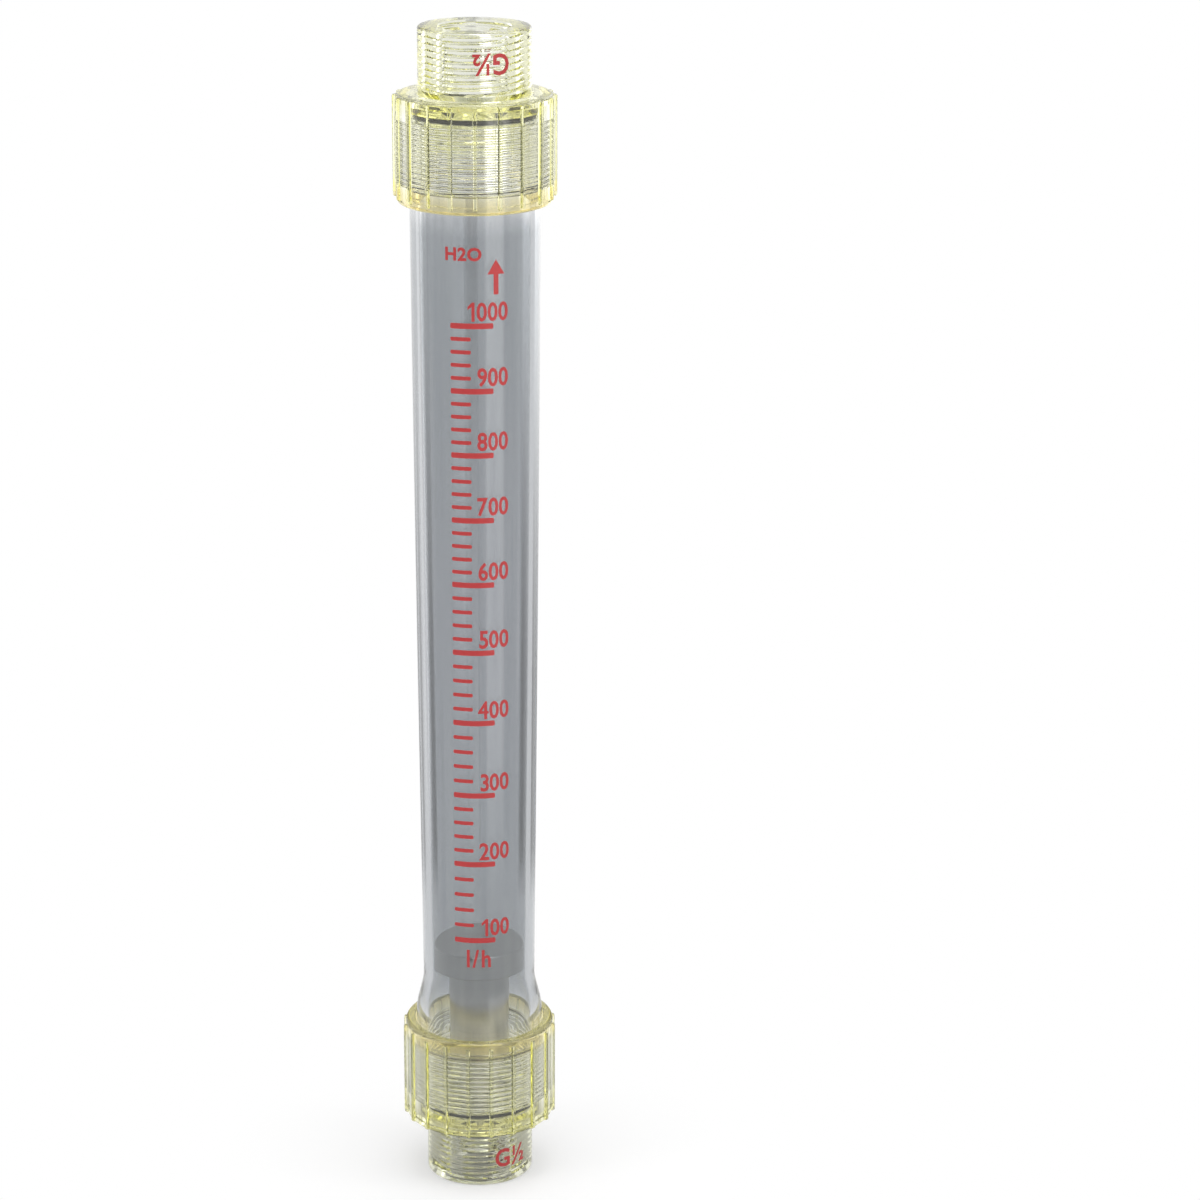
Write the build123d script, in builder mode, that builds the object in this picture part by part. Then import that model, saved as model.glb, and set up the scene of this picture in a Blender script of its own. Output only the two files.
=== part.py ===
from build123d import *
import os
from math import atan, cos, degrees, pi, sin, sqrt

# Water flow meter of the variable-area kind. It stands upright on its lower insert, with +Z up
# and the origin at the centre of that foot. Water enters below and leaves above, and lifts the
# steel float in the tapered tube until the gap around its head is wide enough. All millimetres.

# Float, turned in one piece: a flat head, a shaft and a cone that points down
head_diameter = 27.2
head_height = 7.5
head_chamfer = 0.3
shaft_diameter = 18.0
shaft_length = 27.5
cone_length = 22.0
tip_radius = 0.7

# Measuring tube: a curved taper, a flare below it, and a threaded end at each side
tube_length = 300.0
tube_wall = 2.8
throat_clearance = 0.325     # around the float's head, in the narrowest part of the bore
bore_growth = 1.85           # on the radius, from the throat to the shoulder
bore_bulge = 0.16            # on the radius, at half height, beyond a straight taper
flare_height = 13.0
lower_collar_length = 6.7    # between the lower thread and the flare
upper_collar_length = 3.0    # between the upper thread and the step down to the taper's width
upper_plain_length = 6.0     # between that step and the top of the taper
end_wall = 3.225             # under the crests of the end threads
end_thread_pitch = 1.5
end_chamfer = 0.8

# Union nuts, two alike, moulded, with straight ribs for the hand
nut_length = 31.0
nut_end_wall = 2.5
nut_wall = 3.3               # outside the crests of the thread
nut_edge_radius = 1.4
lead_in_length = 5.2         # plain counterbore at the open end
lead_in_clearance = 0.4      # around the tube's collar
rib_count = 20
rib_height = 0.9
rib_width = 1.1
rib_root = 1.2               # how deep a rib's section reaches into the nut's wall
rib_start = 0.4              # from the closed end
rib_end = 1.6                # from the open end
thread_clearance = 0.3       # between the plain cylinders that stand for two mating threads
thread_run_out = 0.5         # how far the tube's thread goes on past the nut's
thread_depth_share = 0.65    # depth of a thread's flank, as a share of its pitch

# Threaded inserts, two alike
insert_reach = 18.7          # how far an insert stands out of its nut
insert_clearance = 0.3       # around the insert, in the nut's end wall
flange_width = 2.2           # how far the flange stands out beyond the insert's side
flange_thickness = 2.2
flange_clearance = 0.8       # on the radius, inside the crests of the nut's thread
rim_radius = 0.7
spigot_reach = 10.0          # how far the spigot enters the tube
spigot_clearance = 0.675
spigot_chamfer = 0.8
seat_margin = 1.5            # how far inside the shaft's edge the seat meets the float's cone
seat_widening = 1.5          # on the radius, over the height of the conical seat
seat_clearance = 0.3         # between the cone and its seat
mouth_thread_diameter = 20.955
mouth_thread_pitch = 1.814
mouth_thread_length = 18.2
mouth_chamfer = 0.6

# O-rings, drawn as squeezed between flange and tube end
cord_diameter = 2.0
squeezed_height = 1.6
ring_clearance = 0.1         # between the ring and its spigot

# Printed scale: marks for 100 to 1000 litres an hour, as calibrated shares of the scale's length
mark_shares = [0, 0.130, 0.246, 0.3665, 0.482, 0.592, 0.6955, 0.7985, 0.899, 1]
divisions = 5
scale_foot = 16.4            # the lowest mark, above the throat
scale_head = 27.6            # the highest mark, below the top of the taper
print_thickness = 0.1
print_clearance = 0.02       # between the ink and the tube's curved face
mark_left = 7.35             # along the tube's surface, from the line that faces forward
major_right = 4.95
minor_right = -1.45
major_thickness = 1.35
minor_thickness = 0.9

# Radii that follow from the float outwards
shaft_radius = shaft_diameter / 2
throat_radius = head_diameter / 2 + throat_clearance
end_bore_radius = throat_radius + bore_growth
end_thread_radius = end_bore_radius + end_wall
end_thread_line = end_thread_radius - thread_depth_share * end_thread_pitch / 2
tube_thread_radius = end_thread_line - thread_clearance / 2
nut_thread_radius = end_thread_line + thread_clearance / 2
nut_radius = end_thread_radius + nut_wall
flange_radius = end_thread_radius - flange_clearance
insert_radius = flange_radius - flange_width
nut_hole_radius = insert_radius + insert_clearance
spigot_radius = end_bore_radius - spigot_clearance
seat_radius = shaft_radius - seat_margin
passage_radius = seat_radius - seat_widening
mouth_radius = mouth_thread_diameter / 2 - thread_depth_share * mouth_thread_pitch / 2

# Heights that follow, from the foot upwards
flange_base = insert_reach + nut_end_wall
flange_top = flange_base + flange_thickness
tube_base = flange_top + squeezed_height
tube_top = tube_base + tube_length
overall_length = tube_top + tube_base
spigot_top = tube_base + spigot_reach
nut_open_end = insert_reach + nut_length
nut_thread_end = nut_open_end - lead_in_length
end_thread_length = nut_thread_end + thread_run_out - tube_base
flare_base = tube_base + end_thread_length + lower_collar_length
throat_height = flare_base + flare_height
upper_thread_base = tube_top - end_thread_length
step_height = upper_thread_base - upper_collar_length
shoulder_height = step_height - upper_plain_length
half_height = (throat_height + shoulder_height) / 2

cone_slope = shaft_radius / cone_length
cone_angle = atan(cone_slope)
cone_radius_at_seat = seat_radius - seat_clearance / cos(cone_angle)
cone_point = spigot_top - cone_radius_at_seat / cone_slope
shaft_base = cone_point + cone_length
head_base = shaft_base + shaft_length

# Sections at the two ends are drawn inwards: X is the radius, Y the distance from the end face
lower_section = Plane(origin=(0, 0, 0), x_dir=(1, 0, 0), z_dir=(0, -1, 0))
upper_section = Plane(origin=(0, 0, overall_length), x_dir=(1, 0, 0), z_dir=(0, 1, 0))
lower_rib_plane = Plane(origin=(0, 0, insert_reach + rib_start))
upper_rib_plane = Plane(
    origin=(0, 0, overall_length - insert_reach - rib_start), x_dir=(1, 0, 0), z_dir=(0, 0, -1)
)

os.makedirs("parts", exist_ok=True)


def save(piece, name):
    piece.label = name
    export_step(piece, f"parts/{name}.step")


# Measuring tube: the bore and the outside follow the same curve, one wall apart
with BuildPart() as measuring_tube:
    with BuildSketch(Plane.XZ):
        with BuildLine():
            half_radius = throat_radius + bore_growth / 2 + bore_bulge
            bore = ThreePointArc(
                (throat_radius, throat_height),
                (half_radius, half_height),
                (end_bore_radius, shoulder_height),
            )
            taper = ThreePointArc(
                (throat_radius + tube_wall, throat_height),
                (half_radius + tube_wall, half_height),
                (end_bore_radius + tube_wall, shoulder_height),
            )
            upper_end = Polyline(
                taper @ 1,
                (end_bore_radius + tube_wall, step_height),
                (end_thread_radius, step_height + end_thread_radius - end_bore_radius - tube_wall),
                (end_thread_radius, upper_thread_base),
                (tube_thread_radius, upper_thread_base),
                (tube_thread_radius, tube_top - end_chamfer),
                (tube_thread_radius - end_chamfer, tube_top),
                (end_bore_radius, tube_top),
                bore @ 1,
            )
            flare_inside = Spline(
                bore @ 0, (end_bore_radius, flare_base), tangents=[bore % 0 * -1, (0, -1)]
            )
            lower_end = Polyline(
                flare_inside @ 1,
                (end_bore_radius, tube_base),
                (tube_thread_radius - end_chamfer, tube_base),
                (tube_thread_radius, tube_base + end_chamfer),
                (tube_thread_radius, tube_base + end_thread_length),
                (end_thread_radius, tube_base + end_thread_length),
                (end_thread_radius, flare_base),
            )
            flare_outside = Spline(lower_end @ 1, taper @ 0, tangents=[(0, 1), taper % 0])
        make_face()
    revolve(axis=Axis.Z)
save(measuring_tube.part, "measuring_tube")


# Scale marks: thin fields of ink that follow the front of the taper
def ink_radius(height):
    """The radius of the ink's inner face at a height of the taper."""
    centre = taper.arc_center
    return centre.X + sqrt(taper.radius**2 - (height - centre.Y) ** 2) + print_clearance


scale_length = shoulder_height - scale_head - throat_height - scale_foot
major_heights = [throat_height + scale_foot + share * scale_length for share in mark_shares]
fields = [(height, major_right, major_thickness) for height in major_heights]
for below, above in zip(major_heights, major_heights[1:]):
    for step in range(1, divisions):
        minor_height = below + (above - below) * step / divisions
        fields.append((minor_height, minor_right, minor_thickness))

with BuildPart() as scale_marks:
    for height, right, thickness in fields:
        degrees_per_mm = degrees(1 / ink_radius(height))
        low = height - thickness / 2
        high = height + thickness / 2
        with BuildSketch(Plane.XZ.rotated((0, 0, -90 - mark_left * degrees_per_mm))):
            with BuildLine():
                Polyline(
                    (ink_radius(low), low),
                    (ink_radius(low) + print_thickness, low),
                    (ink_radius(high) + print_thickness, high),
                    (ink_radius(high), high),
                    close=True,
                )
            make_face()
        revolve(axis=Axis.Z, revolution_arc=(mark_left + right) * degrees_per_mm)
save(scale_marks.part, "scale_marks")


# Union nuts: the end wall holds the insert's flange, the bore holds the tube's thread
def union_nut(section, rib_plane, first_rib):
    with BuildPart() as nut:
        with BuildSketch(section) as nut_section:
            with BuildLine():
                Polyline(
                    (nut_hole_radius, insert_reach),
                    (nut_radius, insert_reach),
                    (nut_radius, nut_open_end),
                    (end_thread_radius + lead_in_clearance, nut_open_end),
                    (end_thread_radius + lead_in_clearance, nut_thread_end),
                    (nut_thread_radius, nut_thread_end),
                    (nut_thread_radius, flange_base),
                    (nut_hole_radius, flange_base),
                    close=True,
                )
            make_face()
            fillet(nut_section.vertices().group_by(Axis.X)[-1], nut_edge_radius)
        revolve(axis=Axis.Z)
        with BuildSketch(rib_plane):
            with PolarLocations(nut_radius + (rib_height - rib_root) / 2, rib_count, first_rib):
                SlotOverall(rib_height + rib_root, rib_width)
        extrude(amount=nut_length - rib_start - rib_end)
    return nut.part


save(union_nut(lower_section, lower_rib_plane, 180 / rib_count), "lower_union_nut")
save(union_nut(upper_section, upper_rib_plane, 0), "upper_union_nut")


# Inserts: a threaded mouth outside, a flange under the nut, and a spigot in the tube whose
# conical seat carries the float's cone
def threaded_insert(section):
    with BuildPart() as insert:
        with BuildSketch(section) as insert_section:
            with BuildLine():
                Polyline(
                    (mouth_radius + mouth_chamfer, 0),
                    (insert_radius, 0),
                    (insert_radius, flange_base),
                    (flange_radius, flange_base),
                    (flange_radius, flange_top),
                    (spigot_radius, flange_top),
                    (spigot_radius, spigot_top - spigot_chamfer),
                    (spigot_radius - spigot_chamfer, spigot_top),
                    (seat_radius, spigot_top),
                    (passage_radius, spigot_top - seat_widening / cone_slope),
                    (passage_radius, mouth_thread_length + mouth_radius - passage_radius),
                    (mouth_radius, mouth_thread_length),
                    (mouth_radius, mouth_chamfer),
                    close=True,
                )
            make_face()
            foot_corners = insert_section.vertices().group_by(Axis.Y)[0]
            fillet(foot_corners.sort_by(Axis.X)[-1], rim_radius)
        revolve(axis=Axis.Z)
    return insert.part


save(threaded_insert(lower_section), "lower_insert")
save(threaded_insert(upper_section), "upper_insert")


# O-rings: a round cord keeps its volume when it is squeezed, so its section grows wider
def o_ring(section):
    flat_width = pi / 4 * (cord_diameter**2 - squeezed_height**2) / squeezed_height
    ring_width = squeezed_height + flat_width
    with BuildPart() as ring:
        with BuildSketch(section):
            with Locations(
                (spigot_radius + ring_clearance + ring_width / 2, flange_top + squeezed_height / 2)
            ):
                SlotOverall(ring_width, squeezed_height)
        revolve(axis=Axis.Z)
    return ring.part


save(o_ring(lower_section), "lower_o_ring")
save(o_ring(upper_section), "upper_o_ring")


# Float: the upper edge of its head reads the scale, and at rest its cone hangs in the lower seat
with BuildPart() as float_piece:
    with BuildSketch(Plane.XZ) as float_section:
        with BuildLine():
            tip = JernArc(
                start=(0, cone_point + tip_radius / sin(cone_angle) - tip_radius),
                tangent=(1, 0),
                radius=tip_radius,
                arc_size=90 - degrees(cone_angle),
            )
            Polyline(
                tip @ 1,
                (shaft_radius, shaft_base),
                (shaft_radius, head_base),
                (head_diameter / 2, head_base),
                (head_diameter / 2, head_base + head_height),
                (0, head_base + head_height),
                tip @ 0,
            )
        make_face()
        chamfer(float_section.vertices().group_by(Axis.X)[-1], head_chamfer)
    revolve(axis=Axis.Z)
save(float_piece.part, "float")

print("overall", overall_length, "insert", 2 * insert_radius, "thread", 2 * end_thread_radius)
print("mouth wall radius", mouth_radius, "float top at rest", head_base + head_height)
print("float travel", overall_length - spigot_top - seat_clearance - head_base - head_height)
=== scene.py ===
from math import cos, pi, radians, sin, sqrt

import bmesh
import bpy
from mathutils import Matrix, Vector


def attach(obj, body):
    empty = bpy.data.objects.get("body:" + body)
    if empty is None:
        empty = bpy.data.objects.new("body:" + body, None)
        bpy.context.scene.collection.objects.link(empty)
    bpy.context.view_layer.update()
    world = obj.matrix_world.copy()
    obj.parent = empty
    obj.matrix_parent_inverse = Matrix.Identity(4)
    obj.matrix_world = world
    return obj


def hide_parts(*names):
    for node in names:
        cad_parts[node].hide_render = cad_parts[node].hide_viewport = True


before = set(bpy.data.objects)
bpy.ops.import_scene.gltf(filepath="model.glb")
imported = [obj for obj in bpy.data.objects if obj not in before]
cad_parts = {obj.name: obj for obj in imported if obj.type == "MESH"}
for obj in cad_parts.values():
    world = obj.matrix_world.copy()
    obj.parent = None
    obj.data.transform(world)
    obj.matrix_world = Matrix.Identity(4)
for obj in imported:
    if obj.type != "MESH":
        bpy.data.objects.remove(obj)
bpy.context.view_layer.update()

MM = 0.001

# The measuring tube is moulded in one piece from clear polyamide. Its grey-blue look is painted
# shade in its surface's colour, for a grey backdrop seen through it, with a faint grey in its depth.
# The bore widens upwards in a shallow curve, the wall keeps its thickness, and a flare below it
# leads out to the lower end. Both ends carry a right-hand thread for a union nut.
TUBE_FOOT = 25.0
TUBE_TOP = 325.0
THROAT = 64.7            # narrowest place of the bore
SHOULDER = 296.0         # top of the taper
THROAT_BORE = 13.925     # radius
SHOULDER_BORE = 15.775
BORE_BULGE = 0.16        # added to a straight taper's radius at half its height
TUBE_WALL = 2.8
STEP = 302.0             # where the wall goes out to the upper collar
STEP_RISE = 0.425        # height of that slope
COLLAR_RADIUS = 19.0     # also the crest of the end threads
FLARE_FOOT = 51.7
END_THREAD = 20.0        # length
END_PITCH = 1.5
TUBE_THREAD_DEPTH = 0.92
TUBE_CREST = 0.3         # flat share of the pitch at the crests
TUBE_ROOT = 0.2          # and at the roots
TUBE_BAND = 0.8          # height of the chamfer at each end
TUBE_CHAMFER = 0.4       # and its depth
TUBE_COLUMNS = 240
COLLAR_STEPS = 8         # parts that each stretch of the section is divided into
TAPER_STEPS = 40
FLARE_STEPS = 12
RUN_OUT = 0.4            # a thread's teeth reach their full height within this
MERGE = 0.002            # points nearer than this are one
SLIVER = MERGE / 4       # edges shorter than this are taken out


def taper(height):
    """Radius of the bore at a height of the taper."""
    share = (height - THROAT) / (SHOULDER - THROAT)
    straight = THROAT_BORE + (SHOULDER_BORE - THROAT_BORE) * share
    return straight + BORE_BULGE * 4 * share * (1 - share)


def flare(foot, top, share):
    """A radius that swings from foot to top, upright at both."""
    return foot + (top - foot) * share * share * (3 - 2 * share)


class Section:
    """Half a turned piece's cross-section: a closed run of points, in the order around the solid.
    A thread's teeth may slide between the two heights where their thread starts and stops."""

    def __init__(self):
        self.points = []

    def add(self, radius, height):
        self.points.append((radius, height, height, height, 0.0, 0.0))

    def line(self, *corners):
        for radius, height in corners:
            self.add(radius, height)

    def rib_line(self, *corners):
        """Points that the ribs of a grip stand on; each has its share of the rib's height."""
        for radius, height, share in corners:
            self.points.append((radius, height, height, height, 0.0, share))

    def thread(self, radius, depth, pitch, start, stop, crest, root):
        """Teeth on a plain wall, from one height to the other, cut or raised by depth. crest and
        root are the shares of the pitch that are flat there."""
        low, high = min(start, stop), max(start, stop)
        corners = ((-root / 2, 0), (root / 2, 0), (0.5 - crest / 2, 1), (0.5 + crest / 2, 1))
        teeth = []
        for turn in range(-1, int((high - low) / pitch) + 2):
            for share, height in corners:
                teeth.append((radius, low + (turn + share) * pitch, low, high, depth * height, 0.0))
        if start > stop:
            teeth.reverse()
        self.add(radius, start)
        self.points += teeth
        self.add(radius, stop)


def add_node(tree, kind, links=None, **settings):
    """Adds a node; a link's value is another node's socket or a plain value."""
    made = tree.nodes.new(kind)
    for name, value in settings.items():
        setattr(made, name, value)
    for name, value in (links or {}).items():
        socket = made.inputs[name]
        if isinstance(value, bpy.types.NodeSocket):
            tree.links.new(value, socket)
        else:
            socket.default_value = value
    return made


def new_object(name, data):
    """An object in the scene."""
    made = bpy.data.objects.new(name, data)
    bpy.context.scene.collection.objects.link(made)
    return made


def turning_tree():
    """Turns a section around the Z axis. Threaded points climb with the turn, within their thread,
    and fade out near its ends; ribbed points rise where a rib stands."""
    tree = bpy.data.node_groups.new("turned_piece", "GeometryNodeTree")
    sockets = (
        ("Section", "NodeSocketGeometry"), ("Columns", "NodeSocketInt"),
        ("Pitch", "NodeSocketFloat"), ("Run-out", "NodeSocketFloat"),
        ("Ribs", "NodeSocketInt"), ("Rib height", "NodeSocketFloat"),
        ("Rib share", "NodeSocketFloat"), ("First rib", "NodeSocketFloat"),
        ("Material", "NodeSocketMaterial"),
    )
    for name, kind in sockets:
        tree.interface.new_socket(name, in_out="INPUT", socket_type=kind)
    tree.interface.new_socket("Mesh", in_out="OUTPUT", socket_type="NodeSocketGeometry")
    given = add_node(tree, "NodeGroupInput").outputs
    result = add_node(tree, "NodeGroupOutput")

    size = add_node(
        tree, "GeometryNodeAttributeDomainSize", {"Geometry": given["Section"]}, component="MESH"
    )
    known = {name: given[name] for name, kind in sockets if kind != "NodeSocketGeometry"}
    known["rows"] = size.outputs["Point Count"]
    known["index"] = add_node(tree, "GeometryNodeInputIndex").outputs[0]
    samples = []
    for name in ("low", "high", "tooth", "rib"):
        value = add_node(
            tree, "GeometryNodeInputNamedAttribute", {"Name": name}, data_type="FLOAT"
        )
        samples.append(add_node(
            tree, "GeometryNodeSampleIndex",
            {"Geometry": given["Section"], "Value": value.outputs["Attribute"]}, data_type="FLOAT",
        ))
        known[name] = samples[-1].outputs[0]
    samples.append(add_node(
        tree, "GeometryNodeSampleIndex",
        {"Geometry": given["Section"], "Value": add_node(tree, "GeometryNodeInputPosition").outputs[0]},
        data_type="FLOAT_VECTOR",
    ))
    place = add_node(tree, "ShaderNodeSeparateXYZ", {"Vector": samples[-1].outputs[0]})
    known["section radius"] = place.outputs["X"]
    known["section height"] = place.outputs["Z"]

    # Each line is one sum: the name of its result, what is done, and what goes in
    sums = (
        ("columns and seam", "ADD", "Columns", 1),
        ("middle of point", "ADD", "index", 0.5),
        ("columns passed", "DIVIDE", "middle of point", "rows"),
        ("column", "FLOOR", "columns passed"),
        ("points passed", "MULTIPLY", "column", "rows"),
        ("row", "SUBTRACT", "index", "points passed"),
        # columns lie closer together across a rib: half of them share its width. A thousandth
        # keeps a column that stands on a rib's start with that rib
        ("columns of a rib", "DIVIDE", "Columns", "Ribs"),
        ("ribs passed", "DIVIDE", "column", "columns of a rib"),
        ("ribs passed, rounded up", "ADD", "ribs passed", 0.001),
        ("rib number", "FLOOR", "ribs passed, rounded up"),
        ("part", "SUBTRACT", "ribs passed", "rib number"),
        ("first half", "MINIMUM", "part", 0.5),
        ("way on rib", "MULTIPLY", "first half", "Rib share"),
        ("second half", "SUBTRACT", "part", 0.5),
        ("past rib", "MAXIMUM", "second half", 0),
        ("gap share", "SUBTRACT", 2, "Rib share"),
        ("way beside rib", "MULTIPLY", "past rib", "gap share"),
        ("way", "ADD", "way on rib", "way beside rib"),
        ("ribs turned", "ADD", "rib number", "way"),
        ("turn", "DIVIDE", "ribs turned", "Ribs"),
        ("angle", "MULTIPLY_ADD", "turn", 2 * pi, "First rib"),
        # a thread climbs by its pitch and stays between its ends
        ("climbed", "MULTIPLY_ADD", "turn", "Pitch", "section height"),
        ("under end", "MINIMUM", "climbed", "high"),
        ("height", "MAXIMUM", "under end", "low"),
        ("from start", "SUBTRACT", "height", "low"),
        ("to end", "SUBTRACT", "high", "height"),
        ("inside", "MINIMUM", "from start", "to end"),
        ("run in", "DIVIDE", "inside", "Run-out"),
        ("fullness", "MINIMUM", "run in", 1),
        ("tooth rise", "MULTIPLY", "tooth", "fullness"),
        # a rib's section is half a circle drawn out: full in the middle and steep at both sides
        ("across rib", "MULTIPLY_ADD", "first half", 4, -1),
        ("fallen off", "POWER", "across rib", 4),
        ("left", "SUBTRACT", 1, "fallen off"),
        ("left or none", "MAXIMUM", "left", 0),
        ("rib section", "SQRT", "left or none"),
        ("grip", "MULTIPLY", "rib section", "rib"),
        ("rib rise", "MULTIPLY", "grip", "Rib height"),
        ("threaded radius", "ADD", "section radius", "tooth rise"),
        ("radius", "ADD", "threaded radius", "rib rise"),
        ("cosine", "COSINE", "angle"),
        ("sine", "SINE", "angle"),
        ("x", "MULTIPLY", "radius", "cosine"),
        ("y", "MULTIPLY", "radius", "sine"),
    )
    for name, operation, *values in sums:
        links = {place: known.get(value, value) for place, value in enumerate(values)}
        known[name] = add_node(tree, "ShaderNodeMath", links, operation=operation).outputs[0]
    for sample in samples:
        tree.links.new(known["row"], sample.inputs["Index"])

    grid = add_node(
        tree, "GeometryNodeMeshGrid",
        {"Vertices X": known["columns and seam"], "Vertices Y": known["rows"]},
    )
    position = add_node(
        tree, "ShaderNodeCombineXYZ", {"X": known["x"], "Y": known["y"], "Z": known["height"]}
    )
    # The painted light in a rib's colour is read from how far the face stands on it
    marked = add_node(
        tree, "GeometryNodeStoreNamedAttribute",
        {"Geometry": grid.outputs["Mesh"], "Name": "grip", "Value": known["grip"]},
        data_type="FLOAT", domain="POINT",
    )
    turned = add_node(
        tree, "GeometryNodeSetPosition", {"Geometry": marked.outputs[0], "Position": position.outputs[0]}
    )
    merged = add_node(
        tree, "GeometryNodeMergeByDistance",
        {"Geometry": turned.outputs[0], "Distance": MERGE * MM},
    )
    smooth = add_node(tree, "GeometryNodeSetShadeSmooth", {"Geometry": merged.outputs[0]})
    real = add_node(tree, "GeometryNodeRealizeInstances", {"Geometry": smooth.outputs[0]})
    painted = add_node(
        tree, "GeometryNodeSetMaterial", {"Geometry": real.outputs[0], "Material": given["Material"]}
    )
    tree.links.new(painted.outputs[0], result.inputs[0])
    return tree


turned_piece = turning_tree()


def shaped(name, start, tree, values, sharp):
    """What a tree makes of a start mesh, as a plain object that is closed and faces out. Edges
    are crisp from an angle of sharp degrees."""
    made = new_object(name + "_start", start)
    shaping = made.modifiers.new("shaping", "NODES")
    shaping.node_group = tree
    for socket in tree.interface.items_tree:
        if socket.in_out == "INPUT" and socket.name in values:
            shaping[socket.identifier] = values[socket.name]
    graph = bpy.context.evaluated_depsgraph_get()
    mesh = bpy.data.meshes.new_from_object(made.evaluated_get(graph))
    bpy.data.objects.remove(made)
    solid = bmesh.new()
    solid.from_mesh(mesh)
    bmesh.ops.dissolve_degenerate(solid, dist=SLIVER * MM, edges=solid.edges)
    loose = [edge for edge in solid.edges if not edge.link_faces]
    bmesh.ops.delete(solid, geom=loose, context="EDGES")
    bmesh.ops.recalc_face_normals(solid, faces=solid.faces)
    if solid.calc_volume(signed=True) < 0:
        bmesh.ops.reverse_faces(solid, faces=solid.faces)
    solid.to_mesh(mesh)
    solid.free()
    mesh.set_sharp_from_angle(angle=radians(sharp))
    mesh.name = name
    return new_object(name, mesh)


def turn_piece(name, section, material, columns, pitch=0.0, ribs=1, rib_height=0.0, rib_share=1.0,
               first_rib=0.0, sharp=30):
    """A section turned on the Z axis as one closed mesh."""
    mesh = bpy.data.meshes.new(name + "_section")
    points = section.points + section.points[:1]
    mesh.from_pydata([(r * MM, 0, z * MM) for r, z, *_ in points], [], [])
    columns_of = (("low", 2, MM), ("high", 3, MM), ("tooth", 4, MM), ("rib", 5, 1))
    for attribute, place, unit in columns_of:
        values = [point[place] * unit for point in points]
        mesh.attributes.new(attribute, "FLOAT", "POINT").data.foreach_set("value", values)
    return shaped(name, mesh, turned_piece, {
        "Columns": columns, "Pitch": pitch * MM, "Run-out": RUN_OUT * MM, "Ribs": ribs,
        "Rib height": rib_height * MM, "Rib share": rib_share, "First rib": first_rib,
        "Material": material,
    }, sharp)


def linear(hex_colour):
    """An sRGB hex colour as linear RGBA."""
    parts = [int(hex_colour[place:place + 2], 16) / 255 for place in (1, 3, 5)]
    return (*[p / 12.92 if p <= 0.04045 else ((p + 0.055) / 1.055) ** 2.4 for p in parts], 1)


STREAK_WIDTH = 3.0
STREAK_DRAW = 0.03       # streaks are that much narrower than long
STREAK_FROM = 0.38       # levels of the noise between which a streak comes up
STREAK_FULL = 0.66
WAVE_WIDTH = 6.0
WAVE_HEIGHT = 0.01


def clear_plastic(name, painted_tints, streak_tint, streak, painted_rib_light, ior, depth_tint, density, roughness):
    """Clear moulded plastic. The tints by distance from the meter's middle, in millimetres, are painted
    light and shade in its surface's colour, and depth_tint is what is left where light runs far inside.
    Faint streaks and waves run along the mould, and ribs may get a painted light of their own."""
    material = bpy.data.materials.new(name)
    material.use_nodes = True
    tree = material.node_tree
    tree.nodes.clear()
    place = add_node(tree, "ShaderNodeTexCoord").outputs["Object"]
    middle = (TUBE_FOOT + TUBE_TOP) / 2 * MM
    height = add_node(tree, "ShaderNodeSeparateXYZ", {"Vector": place}).outputs["Z"]
    above = add_node(tree, "ShaderNodeMath", {0: height, 1: middle}, operation="SUBTRACT")
    away = add_node(tree, "ShaderNodeMath", {0: above.outputs[0]}, operation="ABSOLUTE")
    share = add_node(tree, "ShaderNodeMath", {0: away.outputs[0], 1: middle}, operation="DIVIDE")
    # Painted light and shade: the surface's colour changes with the distance from the meter's middle
    ramp = add_node(tree, "ShaderNodeValToRGB", {"Fac": share.outputs[0]})
    stops = ramp.color_ramp.elements
    for number, (distance, tint) in enumerate(painted_tints):
        stop = stops[number] if number < 2 else stops.new(1)
        stop.position = distance * MM / middle
        stop.color = linear(tint)
    drawn = add_node(tree, "ShaderNodeMapping", {"Vector": place, "Scale": (1, 1, STREAK_DRAW)})
    streaks = add_node(
        tree, "ShaderNodeTexNoise",
        {"Vector": drawn.outputs[0], "Scale": 1 / (STREAK_WIDTH * MM), "Detail": 2.0},
    )
    shown = add_node(tree, "ShaderNodeMapRange", {
        "Value": streaks.outputs["Fac"], "From Min": STREAK_FROM, "From Max": STREAK_FULL,
        "To Max": streak,
    })
    streaked = add_node(tree, "ShaderNodeMix", {
        "Factor": shown.outputs[0], "A": ramp.outputs["Color"], "B": linear(streak_tint),
    }, data_type="RGBA")
    # Painted light on the ribs, carried in their colour
    grip = add_node(tree, "ShaderNodeAttribute", attribute_name="grip")
    ribbed = add_node(tree, "ShaderNodeMix", {
        "Factor": grip.outputs["Fac"], "A": streaked.outputs["Result"], "B": linear(painted_rib_light),
    }, data_type="RGBA")
    waves = add_node(
        tree, "ShaderNodeTexNoise",
        {"Vector": drawn.outputs[0], "Scale": 1 / (WAVE_WIDTH * MM), "Detail": 1.0, "Roughness": 0.4},
    )
    bump = add_node(
        tree, "ShaderNodeBump",
        {"Height": waves.outputs["Fac"], "Distance": WAVE_HEIGHT * MM, "Strength": 1.0},
    )
    surface = add_node(tree, "ShaderNodeBsdfPrincipled", {
        "Base Color": ribbed.outputs["Result"], "Roughness": roughness, "IOR": ior,
        "Transmission Weight": 1.0, "Normal": bump.outputs[0],
    })
    inside = add_node(
        tree, "ShaderNodeVolumeAbsorption", {"Color": linear(depth_tint), "Density": density}
    )
    end = add_node(tree, "ShaderNodeOutputMaterial")
    tree.links.new(surface.outputs[0], end.inputs["Surface"])
    tree.links.new(inside.outputs[0], end.inputs["Volume"])
    return material
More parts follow.
